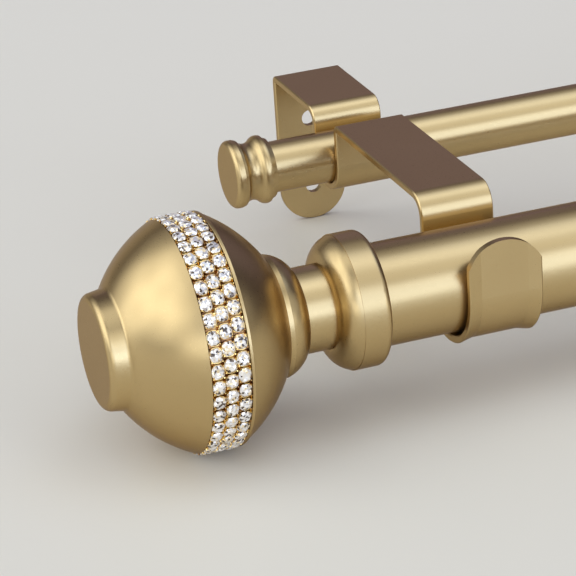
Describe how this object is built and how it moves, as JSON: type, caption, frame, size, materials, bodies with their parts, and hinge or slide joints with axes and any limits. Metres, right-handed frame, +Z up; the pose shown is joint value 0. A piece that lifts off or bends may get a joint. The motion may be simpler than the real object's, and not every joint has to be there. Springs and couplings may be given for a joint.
{
  "type": "double curtain pole",
  "caption": "Double curtain pole in folded strip brackets, a thick front pole with ball finials banded in crystals and a slim rear pole with turned end caps",
  "frame": {"origin": "on the wall plane, midway between the screw holes of both bracket plates", "axes": "+X along the poles, +Y into the wall, +Z up"},
  "size_m": [1.1426, 0.1637, 0.0634],
  "materials": {
    "satin_gold": "satin champagne gold plating, fine brushed grain",
    "setting_gold": "bright yellow gold plated setting metal",
    "crystal": "clear faceted crystal, foiled back",
    "stud_steel": "zinc plated thread",
    "plug_plastic": "moulded, matt",
    "ring_rubber": "smooth, matt"
  },
  "bodies": {
    "root": {"front_pole": "satin_gold", "rear_pole": "satin_gold", "left_ball_outer_half": "satin_gold", "left_ball_inner_half": "satin_gold", "left_finial_neck": "satin_gold", "left_crystal_chain": "setting_gold", "left_crystals": "crystal", "left_finial_stud": "stud_steel", "left_pole_plug": "plug_plastic", "left_rear_cap": "satin_gold", "left_rear_cap_ring": "ring_rubber", "left_bracket": "satin_gold", "right_ball_outer_half": "satin_gold", "right_ball_inner_half": "satin_gold", "right_finial_neck": "satin_gold", "right_crystal_chain": "setting_gold", "right_crystals": "crystal", "right_finial_stud": "stud_steel", "right_pole_plug": "plug_plastic", "right_rear_cap": "satin_gold", "right_rear_cap_ring": "ring_rubber", "right_bracket": "satin_gold"}
  },
  "joints": []
}
